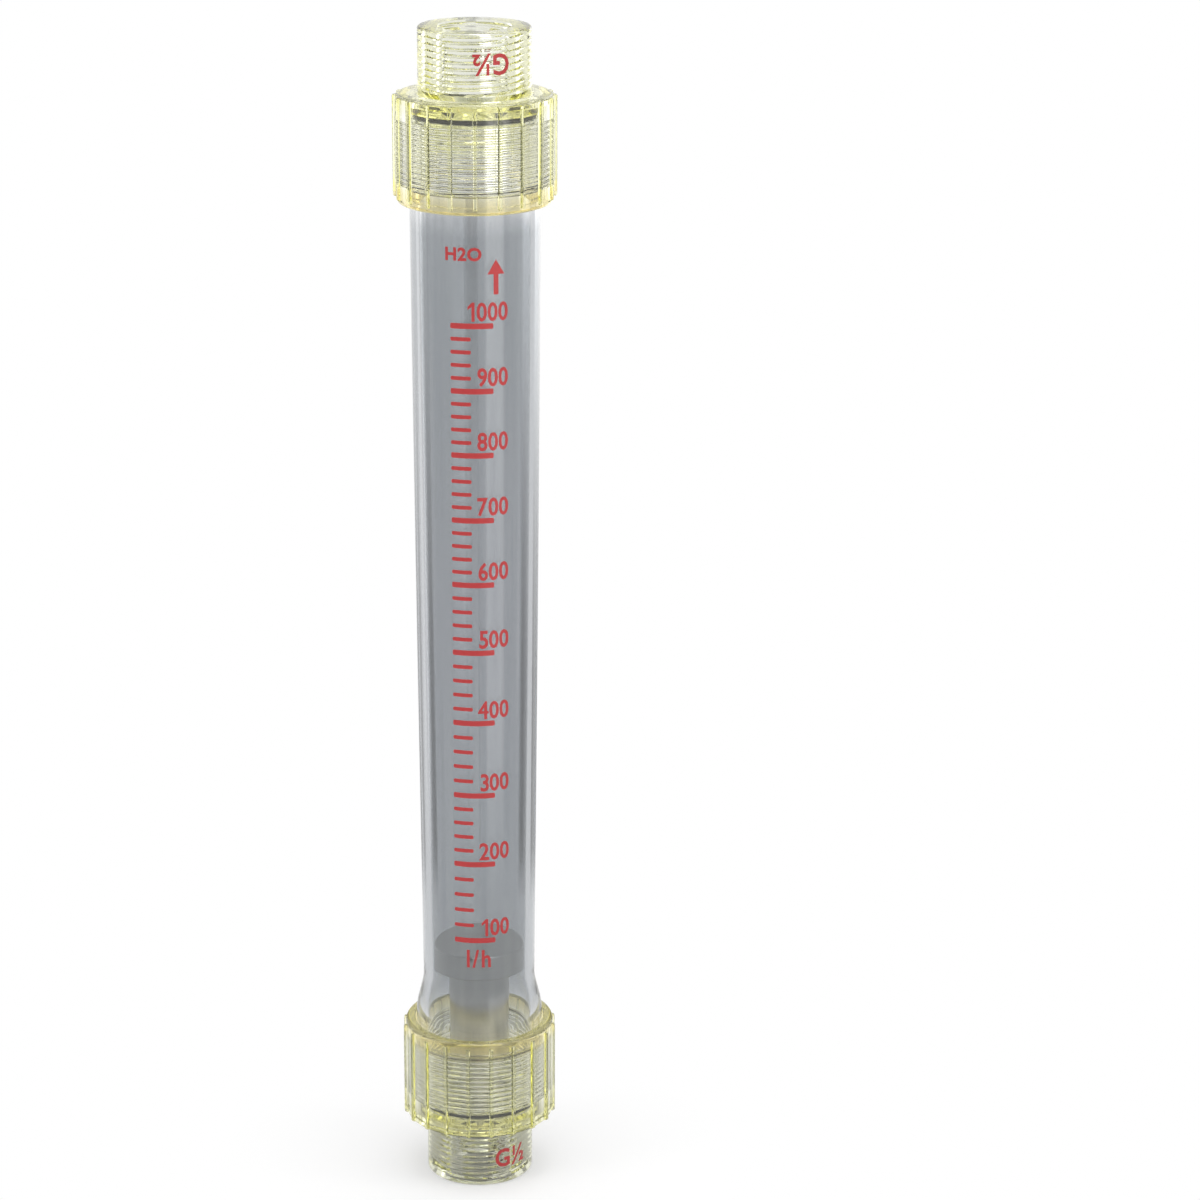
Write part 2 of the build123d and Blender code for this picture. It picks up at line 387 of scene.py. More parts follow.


# Clear polyamide: glossy as it left the mould. Painted shade in its surface's colour makes it smoke
# grey with a breath of blue on the measured length, for the grey backdrop seen through it, and
# leaves that grey out in the threaded ends, where the threads bring in light from the sides
tube_polyamide = clear_plastic(
    "clear_polyamide_painted_grey",
    painted_tints=((0, "#C7C9CC"), (100, "#C7CACC"), (118, "#C9CCCE"), (127, "#FFFFFF")),
    streak_tint="#B2B5BA", streak=0.45, painted_rib_light="#FFFFFF", ior=1.5, depth_tint="#C9CCD0",
    density=34, roughness=0.02,
)

section = Section()
section.add(SHOULDER_BORE, TUBE_TOP)
for step in range(COLLAR_STEPS + 1):
    height = STEP + (SHOULDER - STEP) * step / COLLAR_STEPS
    section.add(SHOULDER_BORE, height)
for step in range(1, TAPER_STEPS):
    height = SHOULDER + (THROAT - SHOULDER) * step / TAPER_STEPS
    section.add(taper(height), height)
for step in range(FLARE_STEPS + 1):
    share = step / FLARE_STEPS
    section.add(flare(THROAT_BORE, SHOULDER_BORE, share), THROAT + (FLARE_FOOT - THROAT) * share)
thread_root = COLLAR_RADIUS - TUBE_THREAD_DEPTH
section.line(
    (SHOULDER_BORE, TUBE_FOOT), (thread_root - TUBE_CHAMFER, TUBE_FOOT),
    (thread_root, TUBE_FOOT + TUBE_BAND),
)
section.thread(
    thread_root, TUBE_THREAD_DEPTH, END_PITCH, TUBE_FOOT + TUBE_BAND, TUBE_FOOT + END_THREAD,
    TUBE_CREST, TUBE_ROOT,
)
section.line((COLLAR_RADIUS, TUBE_FOOT + END_THREAD), (COLLAR_RADIUS, FLARE_FOOT))
for step in range(1, FLARE_STEPS + 1):
    share = 1 - step / FLARE_STEPS
    section.add(
        flare(THROAT_BORE + TUBE_WALL, COLLAR_RADIUS, share), THROAT + (FLARE_FOOT - THROAT) * share
    )
for step in range(1, TAPER_STEPS + 1):
    height = THROAT + (SHOULDER - THROAT) * step / TAPER_STEPS
    section.add(taper(height) + TUBE_WALL, height)
section.line(
    (SHOULDER_BORE + TUBE_WALL, STEP), (COLLAR_RADIUS, STEP + STEP_RISE),
    (COLLAR_RADIUS, TUBE_TOP - END_THREAD),
)
section.thread(
    thread_root, TUBE_THREAD_DEPTH, END_PITCH, TUBE_TOP - END_THREAD, TUBE_TOP - TUBE_BAND,
    TUBE_CREST, TUBE_ROOT,
)
section.add(thread_root - TUBE_CHAMFER, TUBE_TOP)
clear_tube = turn_piece("clear_tube", section, tube_polyamide, TUBE_COLUMNS, END_PITCH)
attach(clear_tube, "tube")
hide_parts("measuring_tube")


# The two threaded inserts are moulded alike from pale yellow polysulfone. Each has a G1/2 thread
# inside its mouth, a flange that the nut pulls on, and a spigot in the tube's end. The lower
# spigot's mouth is a cone, and the float hangs in it when no water flows.
OVERALL = 350.0
INSERT_RADIUS = 16.0
FLANGE_FOOT = 21.2
FLANGE_TOP = 23.4
FLANGE_RADIUS = 18.2
SPIGOT_RADIUS = 15.1
SPIGOT_TOP = 35.0
SPIGOT_CHAMFER = 0.8
SEAT_RADIUS = 7.5
SEAT_FOOT = 31.33
PASSAGE_RADIUS = 6.0
MOUTH_THREAD = 18.2      # depth of the thread
MOUTH_PITCH = 1.814
MOUTH_CREST = 9.3155     # radius at the crests, which point inwards
MOUTH_DEPTH = 1.162      # of the thread's groove
MOUTH_FLAT = 0.17        # share of the pitch that is flat, at crests and at roots
MOUTH_LEAD = 0.6         # plain wall between the end face and the thread
RIM = 0.7
AIR = 0.03               # between two faces that meet, so that each keeps its own gloss
INSERT_COLUMNS = 200

# Polysulfone: pale straw with a high gloss. Painted light in its surface's colour makes it golden
# where the light runs far inside it, in the nut's plain end, its end wall and its ribs, and painted
# shade makes it greyer on the insert's outside
fitting_polysulfone = clear_plastic(
    "pale_yellow_polysulfone",
    painted_tints=(
        (125.3, "#F8E8AA"), (129.5, "#FBF3CE"), (132, "#FFFFFC"), (150.5, "#FFFFFC"),
        (152.5, "#FBFAE6"), (156.3, "#FBFAE8"), (158, "#E8E9EA"),
    ),
    streak_tint="#F6F7EC", streak=0.2, painted_rib_light="#FDFCD6", ior=1.55, depth_tint="#FBFAA2",
    density=25, roughness=0.03,
)


def rounded(section, middle, radius, start, stop, steps=5):
    """A rounded edge from one angle to another, in degrees."""
    for step in range(steps + 1):
        angle = radians(start + (stop - start) * step / steps)
        section.add(middle[0] + radius * cos(angle), middle[1] + radius * sin(angle))


def flipped(section):
    """The same piece at the other end of the meter, upside down. A thread turned over keeps its
    hand, so its teeth are laid out anew by their heights."""
    other = Section()
    for radius, height, low, high, tooth, rib in section.points:
        other.points.append(
            (radius, OVERALL - height, OVERALL - high, OVERALL - low, tooth, rib)
        )
    return other


def insert_section():
    section = Section()
    section.line((MOUTH_CREST + MOUTH_DEPTH, 0), (INSERT_RADIUS - RIM, 0))
    rounded(section, (INSERT_RADIUS - RIM, RIM), RIM, -90, 0)
    section.line(
        (INSERT_RADIUS, FLANGE_FOOT + AIR), (FLANGE_RADIUS, FLANGE_FOOT + AIR),
        (FLANGE_RADIUS, FLANGE_TOP - AIR), (SPIGOT_RADIUS, FLANGE_TOP - AIR),
        (SPIGOT_RADIUS, SPIGOT_TOP - SPIGOT_CHAMFER), (SPIGOT_RADIUS - SPIGOT_CHAMFER, SPIGOT_TOP),
        (SEAT_RADIUS, SPIGOT_TOP), (PASSAGE_RADIUS, SEAT_FOOT),
        (PASSAGE_RADIUS, MOUTH_THREAD + MOUTH_CREST + MOUTH_DEPTH - PASSAGE_RADIUS),
        (MOUTH_CREST + MOUTH_DEPTH, MOUTH_THREAD),
    )
    section.thread(
        MOUTH_CREST + MOUTH_DEPTH, -MOUTH_DEPTH, MOUTH_PITCH, MOUTH_THREAD, MOUTH_LEAD,
        MOUTH_FLAT, MOUTH_FLAT,
    )
    return section


for end in ("lower", "upper"):
    section = insert_section()
    if end == "upper":
        section = flipped(section)
    insert = turn_piece(
        f"{end}_threaded_insert", section, fitting_polysulfone, INSERT_COLUMNS, MOUTH_PITCH
    )
    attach(insert, f"{end}_fitting")
    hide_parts(f"{end}_insert")


# Each O-ring is a black nitrile cord that the flange squeezes flat against the tube's end. Only
# its rim shows, as a thin dark line through nut and thread.
RING_INNER = 15.2
RING_OUTER = 17.51
RING_HALF = (TUBE_FOOT - FLANGE_TOP) / 2 - AIR
RING_COLUMNS = 120
RING_STEPS = 8           # points around each rounded side
RUBBER_GRAIN = 0.3

nitrile = bpy.data.materials.new("black_nitrile_rubber")
nitrile.use_nodes = True
# Moulded rubber: nearly black, a soft sheen broken by fine grain
nitrile_surface = nitrile.node_tree.nodes["Principled BSDF"]
nitrile_surface.inputs["Base Color"].default_value = linear("#1B1C1F")
nitrile_surface.inputs["IOR"].default_value = 1.52
rubber_place = add_node(nitrile.node_tree, "ShaderNodeTexCoord")
rubber_grain = add_node(
    nitrile.node_tree, "ShaderNodeTexNoise",
    {"Vector": rubber_place.outputs["Object"], "Scale": 1 / (RUBBER_GRAIN * MM), "Detail": 2.0},
)
rubber_gloss = add_node(
    nitrile.node_tree, "ShaderNodeMapRange",
    {"Value": rubber_grain.outputs["Fac"], "To Min": 0.42, "To Max": 0.62},
)
nitrile.node_tree.links.new(rubber_gloss.outputs[0], nitrile_surface.inputs["Roughness"])

for end in ("lower", "upper"):
    section = Section()
    middle_height = FLANGE_TOP + AIR + RING_HALF
    rounded(section, (RING_OUTER - RING_HALF, middle_height), RING_HALF, -90, 90, RING_STEPS)
    rounded(section, (RING_INNER + RING_HALF, middle_height), RING_HALF, 90, 270, RING_STEPS)
    if end == "upper":
        section = flipped(section)
    ring = turn_piece(f"{end}_seal_ring", section, nitrile, RING_COLUMNS, sharp=60)
    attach(ring, f"{end}_fitting")
    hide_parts(f"{end}_o_ring")


# The union nuts are moulded of the same polysulfone. Twenty straight ribs give the hand its grip,
# the end wall holds the insert's flange, and the bore has the tube's thread.
NUT_FOOT = 18.7
NUT_OPEN = 49.7
NUT_THREAD_END = 44.5
NUT_RELIEF = 25.5        # the thread stops here, and the bore is plain down to the end wall
NUT_RADIUS = 22.3
NUT_EDGE = 1.4           # radius of its two outer edges
NUT_HOLE = 16.3
NUT_CHAMFER = 0.3
NUT_CREST = 18.19        # radius at the crests, which point inwards
NUT_DEPTH = 0.86
NUT_CREST_FLAT = 0.25    # flat share of the pitch at the crests
NUT_ROOT_FLAT = 0.125    # and at the roots
LEAD_IN = 19.4           # radius of the plain mouth
RIBS = 20
RIB_HEIGHT = 0.895
RIB_WIDTH = 1.1
RIB_SPREAD = 1.15        # a rib's foot is that much wider
RIB_FOOT = NUT_FOOT + 0.4
RIB_TOP = NUT_OPEN - 1.6
NUT_COLUMNS = RIBS * 16  # half of each sixteen lie on a rib


def edge_radius(height):
    """The nut's outside radius near its two rounded edges."""
    below = max(NUT_FOOT + NUT_EDGE - height, height - NUT_OPEN + NUT_EDGE, 0)
    return NUT_RADIUS - NUT_EDGE + sqrt(NUT_EDGE**2 - below**2)


def nut_section():
    section = Section()
    section.line(
        (NUT_HOLE, NUT_FOOT + NUT_CHAMFER), (NUT_HOLE + NUT_CHAMFER, NUT_FOOT),
        (NUT_RADIUS - NUT_EDGE, NUT_FOOT),
    )
    # Heights up the outside wall, and the share of its full height that a rib has there
    for height, share in (
        (NUT_FOOT + 0.1, 0), (NUT_FOOT + 0.25, 0), (RIB_FOOT, 0), (RIB_FOOT + 0.08, 0.7),
        (RIB_FOOT + 0.3, 0.93), (RIB_FOOT + 0.6, 1), (NUT_FOOT + NUT_EDGE, 1),
        (NUT_OPEN - NUT_EDGE - 1.5, 1), (RIB_TOP - 0.35, 0.95), (RIB_TOP - 0.1, 0.7),
        (RIB_TOP, 0), (NUT_OPEN - 1.2, 0), (NUT_OPEN - 0.8, 0), (NUT_OPEN - 0.45, 0),
        (NUT_OPEN - 0.2, 0), (NUT_OPEN - 0.05, 0),
    ):
        radius = edge_radius(height)
        section.rib_line((radius + (NUT_RADIUS - radius) * share, height, share))
    section.line(
        (NUT_RADIUS - NUT_EDGE, NUT_OPEN), (LEAD_IN + NUT_CHAMFER, NUT_OPEN),
        (LEAD_IN, NUT_OPEN - NUT_CHAMFER), (LEAD_IN, NUT_THREAD_END),
    )
    section.thread(
        NUT_CREST + NUT_DEPTH, -NUT_DEPTH, END_PITCH, NUT_THREAD_END, NUT_RELIEF,
        NUT_CREST_FLAT, NUT_ROOT_FLAT,
    )
    section.line((NUT_CREST + NUT_DEPTH, FLANGE_FOOT), (NUT_HOLE, FLANGE_FOOT))
    return section


# Twice the share of the ribs' spacing that a foot takes, and the angle from its side to its middle
RIB_SHARE = RIB_WIDTH * RIB_SPREAD / (2 * pi * NUT_RADIUS / RIBS) * 2
RIB_MIDDLE = RIB_SHARE / 4 * 2 * pi / RIBS
# The upper nut has a rib straight in front, and the lower one a gap
for end in ("lower", "upper"):
    section = nut_section()
    facing = -pi / 2 + pi / RIBS
    if end == "upper":
        section = flipped(section)
        facing = -pi / 2
    nut = turn_piece(
        f"{end}_ribbed_nut", section, fitting_polysulfone, NUT_COLUMNS, END_PITCH, ribs=RIBS,
        rib_height=RIB_HEIGHT, rib_share=RIB_SHARE, first_rib=facing - RIB_MIDDLE, sharp=35,
    )
    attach(nut, f"{end}_nut")
    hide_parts(f"{end}_union_nut")


# The float is turned from stainless bar in one piece: a flat head with a sharp rim, a shaft, and
# a cone that points down into the water. The tool leaves fine rings all over it.
HEAD_TOP = 74.459
HEAD_FOOT = 66.96
HEAD_RADIUS = 13.6
SHAFT_RADIUS = 9.0
SHAFT_FOOT = 39.46
TIP = 18.6
TIP_RADIUS = 0.65
TIP_ROUND = ((0, 0), (0.55, 0.12), (0.92, 0.5))  # share of that radius, height above the tip
FILLET = 0.2             # at both edges of the head's underside
RIM_CHAMFER = 0.3
CENTRE_MARK = ((1.2, 0), (0.9, 0.15), (0, 0.2))  # radius and depth, in the head's top
FEED_MARK = 0.4          # coarser than a lathe's, so that the rings show
FEED_DEPTH = 0.02
FLOAT_COLUMNS = 160

turned_steel = bpy.data.materials.new("turned_stainless_steel")
turned_steel.use_nodes = True
# Turned stainless steel: pale bare metal, its soft gloss broken by the tool's fine rings
steel = turned_steel.node_tree
steel_surface = steel.nodes["Principled BSDF"]
steel_surface.inputs["Metallic"].default_value = 1.0
steel_place = add_node(steel, "ShaderNodeTexCoord").outputs["Object"]
across_axis = add_node(
    steel, "ShaderNodeVectorMath", {0: steel_place, 1: (1, 1, 0)}, operation="MULTIPLY"
)
from_axis = add_node(
    steel, "ShaderNodeVectorMath", {0: across_axis.outputs[0]}, operation="LENGTH"
)
steel_height = add_node(steel, "ShaderNodeSeparateXYZ", {"Vector": steel_place})
along_cut = add_node(
    steel, "ShaderNodeMath",
    {0: from_axis.outputs["Value"], 1: steel_height.outputs["Z"]}, operation="ADD",
)
cut_place = add_node(steel, "ShaderNodeCombineXYZ", {"X": along_cut.outputs[0]})
feed_marks = add_node(
    steel, "ShaderNodeTexNoise",
    {"Vector": cut_place.outputs[0], "Scale": 1 / (FEED_MARK * MM), "Detail": 3.0},
)
steel_bump = add_node(
    steel, "ShaderNodeBump",
    {"Height": feed_marks.outputs["Fac"], "Distance": FEED_DEPTH * MM, "Strength": 0.6},
)
steel_colour = add_node(steel, "ShaderNodeMix", {
    "Factor": feed_marks.outputs["Fac"], "A": linear("#D2D0CC"), "B": linear("#F0EEEA"),
}, data_type="RGBA")
steel_gloss = add_node(
    steel, "ShaderNodeMapRange",
    {"Value": feed_marks.outputs["Fac"], "To Min": 0.22, "To Max": 0.4},
)
steel.links.new(steel_colour.outputs["Result"], steel_surface.inputs["Base Color"])
steel.links.new(steel_gloss.outputs[0], steel_surface.inputs["Roughness"])
steel.links.new(steel_bump.outputs[0], steel_surface.inputs["Normal"])

section = Section()
section.line(*[(TIP_RADIUS * share, TIP + rise) for share, rise in TIP_ROUND])
section.line(
    (SHAFT_RADIUS, SHAFT_FOOT), (SHAFT_RADIUS, HEAD_FOOT - FILLET),
    (SHAFT_RADIUS + FILLET, HEAD_FOOT), (HEAD_RADIUS - FILLET, HEAD_FOOT),
    (HEAD_RADIUS, HEAD_FOOT + FILLET), (HEAD_RADIUS, HEAD_TOP - RIM_CHAMFER),
    (HEAD_RADIUS - RIM_CHAMFER, HEAD_TOP),
)
section.line(*[(radius, HEAD_TOP - depth) for radius, depth in CENTRE_MARK])
steel_float = turn_piece("steel_float", section, turned_steel, FLOAT_COLUMNS, sharp=20)
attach(steel_float, "float")
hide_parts("float")


# The scale is screen-printed on the tube in red ink: a mark for each hundred litres an hour, four
# short ones between, the numbers, the unit, and above them what flows and which way.
MARK_SHARES = (0, 0.130, 0.246, 0.3665, 0.482, 0.592, 0.6955, 0.7985, 0.899, 1)
FIRST_MARK = 81.1
LAST_MARK = 268.4
MARK_LEFT = -7.35
LONG_RIGHT = 4.95
SHORT_RIGHT = -1.45
LONG_THICK = 1.6
SHORT_THICK = 1.12
MARK_CORNER = 0.4
NUMBER_RIGHT = 9.35
NUMBER_RISE = 1.35       # from a mark's middle to the foot of its number
NUMBER_HEIGHT = 5.5
FIGURE_PITCH = 3.1       # from one figure of a number to the next
SHORT_MARKS = 4          # from one long mark to the next
CORNER_STEPS = 3
STROKE_OFFSET = 0.022    # of the letters' size, on each side of a stroke
ARROW = (                # its corners, from the left of the foot
    (5.1, 277.4), (6.5, 277.4), (6.5, 283.2), (8.3, 283.2), (5.8, 287.4), (3.3, 283.2), (5.1, 283.2),
)
INK_THICK = 0.07
INK_SUNK = 0.02          # ink wets the plastic, so no air is between them
INK_STEP = 0.8           # a flat shape is cut this fine before it is bent
INK_MERGE = 0.0001       # once bent, points nearer than this are one
INK_MOTTLE = 0.7

scale_ink = bpy.data.materials.new("red_screen_print_ink")
scale_ink.use_nodes = True
# Screen ink: an even red with a slight mottle where the coat is thin, and a satin face
ink_tree = scale_ink.node_tree
ink_surface = ink_tree.nodes["Principled BSDF"]
ink_place = add_node(ink_tree, "ShaderNodeTexCoord").outputs["Object"]
ink_mottle = add_node(
    ink_tree, "ShaderNodeTexNoise",
    {"Vector": ink_place, "Scale": 1 / (INK_MOTTLE * MM), "Detail": 3.0, "Roughness": 0.6},
)
ink_colour = add_node(ink_tree, "ShaderNodeMix", {
    "Factor": ink_mottle.outputs["Fac"], "A": linear("#982024"), "B": linear("#BC3434"),
}, data_type="RGBA")
ink_tree.links.new(ink_colour.outputs["Result"], ink_surface.inputs["Base Color"])
ink_surface.inputs["Roughness"].default_value = 0.42


def flat_text(words, right, foot, height, narrow=0.82, stroke_offset=STROKE_OFFSET, spacing=1.0):
    """Words drawn flat, X to the right and Y up, in millimetres, their right edge at right."""
    curve = bpy.data.curves.new("print_" + words, "FONT")
    curve.body = words
    curve.resolution_u = 3
    curve.offset = stroke_offset
    curve.space_character = spacing
    made = new_object("print_" + words, curve)
    bpy.context.view_layer.update()
    mesh = bpy.data.meshes.new_from_object(
        made.evaluated_get(bpy.context.evaluated_depsgraph_get())
    )
    bpy.data.objects.remove(made)
    edge = max(v.co.x for v in mesh.vertices)
    low = min(v.co.y for v in mesh.vertices)
    scale = height / (max(v.co.y for v in mesh.vertices) - low)
    for v in mesh.vertices:
        v.co.x = (v.co.x - edge) * scale * narrow + right
        v.co.y = (v.co.y - low) * scale + foot
    return mesh


def flat_outline(points):
    """A flat shape from its corners, in millimetres."""
    mesh = bpy.data.meshes.new("outline")
    mesh.from_pydata([(x, y, 0) for x, y in points], [], [tuple(range(len(points)))])
    return mesh


def flat_bar(left, right, middle, thickness):
    """A mark with rounded corners, as the screen prints it."""
    low, high = middle - thickness / 2 + MARK_CORNER, middle + thickness / 2 - MARK_CORNER
    outline = []
    for x, y, start in (
        (right - MARK_CORNER, low, -90), (right - MARK_CORNER, high, 0),
        (left + MARK_CORNER, high, 90), (left + MARK_CORNER, low, 180),
    ):
        for step in range(CORNER_STEPS + 1):
            angle = radians(start + 90 * step / CORNER_STEPS)
            outline.append((x + MARK_CORNER * cos(angle), y + MARK_CORNER * sin(angle)))
    return flat_outline(outline)


# Two figures are drawn here by their corners, from the right of the foot: the one gets a flag,
# and the four keeps its hole open in bold strokes
OWN_FIGURES = {
    "1": ((
        (-1.25, 0), (-0.4, 0), (-0.4, NUMBER_HEIGHT), (-1.1, NUMBER_HEIGHT), (-2.35, 4.25),
        (-2.35, 3.35), (-1.25, 4.25),
    ),),
    "4": ((
        (-1.3, 1.7), (-1.3, 2.5), (-2.05, 2.5), (-1.3, 3.68), (-1.3, 5.03), (-3.1, 2.2), (-3.1, 1.7),
    ), (
        (-1.3, 0), (-0.45, 0), (-0.45, 1.7), (0, 1.7), (0, 2.5), (-0.45, 2.5),
        (-0.45, NUMBER_HEIGHT), (-1.0, NUMBER_HEIGHT), (-1.3, 5.03), (-1.3, 3.68), (-1.3, 2.5),
        (-1.3, 1.7),
    )),
}


def number_of_litres(hundreds, right, foot):
    """A number's figures, evenly spaced from the right."""
    shapes = []
    for place, figure in enumerate(reversed(f"{hundreds}00")):
        edge = right - place * FIGURE_PITCH
        for outline in OWN_FIGURES.get(figure, ()):
            shapes.append(flat_outline([(edge + x, foot + y) for x, y in outline]))
        if figure not in OWN_FIGURES:
            shapes.append(flat_text(figure, edge, foot, NUMBER_HEIGHT))
    return shapes


def bending_tree():
    """Bends flat shapes around the Z axis on a surface whose radius grows with height, in a line
    with a bulge, and gives them the thickness of a coat of ink."""
    tree = bpy.data.node_groups.new("printed_ink", "GeometryNodeTree")
    sockets = (
        ("Flat", "NodeSocketGeometry"), ("Foot", "NodeSocketFloat"), ("Length", "NodeSocketFloat"),
        ("Radius", "NodeSocketFloat"), ("Growth", "NodeSocketFloat"), ("Bulge", "NodeSocketFloat"),
        ("Thickness", "NodeSocketFloat"), ("Sunk", "NodeSocketFloat"),
        ("Material", "NodeSocketMaterial"),
    )
    for name, kind in sockets:
        tree.interface.new_socket(name, in_out="INPUT", socket_type=kind)
    tree.interface.new_socket("Mesh", in_out="OUTPUT", socket_type="NodeSocketGeometry")
    given = add_node(tree, "NodeGroupInput").outputs
    result = add_node(tree, "NodeGroupOutput")
    known = {name: given[name] for name, kind in sockets if kind == "NodeSocketFloat"}
    flat = add_node(
        tree, "ShaderNodeSeparateXYZ",
        {"Vector": add_node(tree, "GeometryNodeInputPosition").outputs[0]},
    )
    known["right"], known["up"] = flat.outputs["X"], flat.outputs["Y"]
    sums = (
        ("above foot", "SUBTRACT", "up", "Foot"),
        ("share", "DIVIDE", "above foot", "Length"),
        ("to go", "SUBTRACT", 1, "share"),
        ("hump", "MULTIPLY", "share", "to go"),
        ("full hump", "MULTIPLY", "hump", 4),
        ("straight", "MULTIPLY_ADD", "share", "Growth", "Radius"),
        ("surface", "MULTIPLY_ADD", "full hump", "Bulge", "straight"),
        ("radius", "SUBTRACT", "surface", "Sunk"),
        ("turn", "DIVIDE", "right", "surface"),
        ("angle", "SUBTRACT", "turn", pi / 2),
        ("cosine", "COSINE", "angle"),
        ("sine", "SINE", "angle"),
        ("x", "MULTIPLY", "radius", "cosine"),
        ("y", "MULTIPLY", "radius", "sine"),
    )
    for name, operation, *values in sums:
        links = {place: known.get(value, value) for place, value in enumerate(values)}
        known[name] = add_node(tree, "ShaderNodeMath", links, operation=operation).outputs[0]
    position = add_node(
        tree, "ShaderNodeCombineXYZ", {"X": known["x"], "Y": known["y"], "Z": known["up"]}
    )
    bent = add_node(
        tree, "GeometryNodeSetPosition", {"Geometry": given["Flat"], "Position": position.outputs[0]}
    )
    outer = add_node(
        tree, "GeometryNodeExtrudeMesh",
        {"Mesh": bent.outputs[0], "Offset Scale": given["Thickness"], "Individual": False},
    )
    inner = add_node(tree, "GeometryNodeFlipFaces", {"Mesh": bent.outputs[0]})
    both = add_node(tree, "GeometryNodeJoinGeometry")
    tree.links.new(outer.outputs["Mesh"], both.inputs[0])
    tree.links.new(inner.outputs[0], both.inputs[0])
    closed = add_node(
        tree, "GeometryNodeMergeByDistance", {"Geometry": both.outputs[0], "Distance": INK_MERGE * MM}
    )
    real = add_node(tree, "GeometryNodeRealizeInstances", {"Geometry": closed.outputs[0]})
    painted = add_node(
        tree, "GeometryNodeSetMaterial", {"Geometry": real.outputs[0], "Material": given["Material"]}
    )
    tree.links.new(painted.outputs[0], result.inputs[0])
    return tree


printed_ink = bending_tree()


def printed(name, flats, radius, growth=0.0, bulge=0.0, foot=0.0, length=1.0):
    """Flat shapes as one coat of ink around the surface that the five sizes give."""
    layer = bmesh.new()
    for flat in flats:
        layer.from_mesh(flat)
        bpy.data.meshes.remove(flat)
    cut = min(v.co.x for v in layer.verts) + INK_STEP
    while cut < max(v.co.x for v in layer.verts):
        everything = layer.verts[:] + layer.edges[:] + layer.faces[:]
        bmesh.ops.bisect_plane(layer, geom=everything, plane_co=(cut, 0, 0), plane_no=(1, 0, 0))
        cut += INK_STEP
    bmesh.ops.remove_doubles(layer, verts=layer.verts, dist=MERGE)
    bmesh.ops.triangulate(layer, faces=layer.faces)
    for face in layer.faces:
        if face.normal.z < 0:
            face.normal_flip()
    bmesh.ops.scale(layer, vec=(MM, MM, MM), verts=layer.verts)
    mesh = bpy.data.meshes.new(name + "_flat")
    layer.to_mesh(mesh)
    layer.free()
    return shaped(name, mesh, printed_ink, {
        "Foot": foot * MM, "Length": length * MM, "Radius": radius * MM, "Growth": growth * MM,
        "Bulge": bulge * MM, "Thickness": INK_THICK * MM, "Sunk": INK_SUNK * MM,
        "Material": scale_ink,
    }, sharp=30)


long_marks = [FIRST_MARK + share * (LAST_MARK - FIRST_MARK) for share in MARK_SHARES]
flats = []
for number, height in enumerate(long_marks, start=1):
    flats.append(flat_bar(MARK_LEFT, LONG_RIGHT, height, LONG_THICK))
    flats += number_of_litres(number, NUMBER_RIGHT, height + NUMBER_RISE)
for below, above in zip(long_marks, long_marks[1:]):
    for step in range(1, SHORT_MARKS + 1):
        height = below + (above - below) * step / (SHORT_MARKS + 1)
        flats.append(flat_bar(MARK_LEFT, SHORT_RIGHT, height, SHORT_THICK))
flats.append(flat_text("l/h", right=3.5, foot=72.3, height=5.8, spacing=1.2))
flats.append(flat_text(
    "H2O", right=1.7, foot=287.0, height=3.9, narrow=1.0, stroke_offset=0.034, spacing=1.06
))
flats.append(flat_outline(ARROW))
scale_print = printed(
    "scale_print", flats, radius=THROAT_BORE + TUBE_WALL, growth=SHOULDER_BORE - THROAT_BORE,
    bulge=BORE_BULGE, foot=THROAT, length=SHOULDER - THROAT,
)
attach(scale_print, "tube")
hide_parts("scale_marks")


# Each insert carries the name of its pipe thread in the same ink. The upper one is the lower one
# turned over, so its words stand on their heads.
MARKING_HEIGHT = 6.2
MARKING_FOOT = 5.4
MARKINGS = {"lower": 36, "upper": 17}    # degrees to the right of the front

for end, azimuth in MARKINGS.items():
    words = flat_text("G\u00bd", 0, MARKING_FOOT, MARKING_HEIGHT, narrow=0.9)
    half_width = -min(v.co.x for v in words.vertices) / 2
    for v in words.vertices:
        v.co.x += half_width
        if end == "upper":
            v.co.x *= -1
            v.co.y = OVERALL - v.co.y
        v.co.x += radians(azimuth) * INSERT_RADIUS
    marking = printed(f"{end}_thread_marking", [words], INSERT_RADIUS)
    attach(marking, f"{end}_fitting")


# The photograph is taken from a metre away and half a metre above the foot, with a long lens. The
# floor is pale and light comes from everywhere, with a tall strip at each side and a lamp above.
CAMERA_BACK = 998.5
CAMERA_UP = 502.65
CAMERA_DOWN = 0.3108146  # radians below level
CAMERA_RIGHT = 0.0359977
CAMERA_TILT = 0.0058310
LENS = 107.41
ROOM_CAST = 0.75         # strength of the light that the room casts, beside how bright it looks
DARK_SIDE = (0.0, -0.87, 0.5)
DARK_FROM = 0.7          # cosine of the angle from the dark side's middle
DARK_FULL = 0.92
DARKNESS = 0.45

camera_data = bpy.data.cameras.new("camera")
camera_data.lens = LENS
camera_data.sensor_width = 36
camera = new_object("camera", camera_data)
camera.matrix_world = (
    Matrix.Translation((0, -CAMERA_BACK * MM, CAMERA_UP * MM))
    @ Matrix.Rotation(-CAMERA_RIGHT, 4, "Z")
    @ Matrix.Rotation(pi / 2 - CAMERA_DOWN, 4, "X")
    @ Matrix.Rotation(CAMERA_TILT, 4, "Z")
)
bpy.context.scene.camera = camera

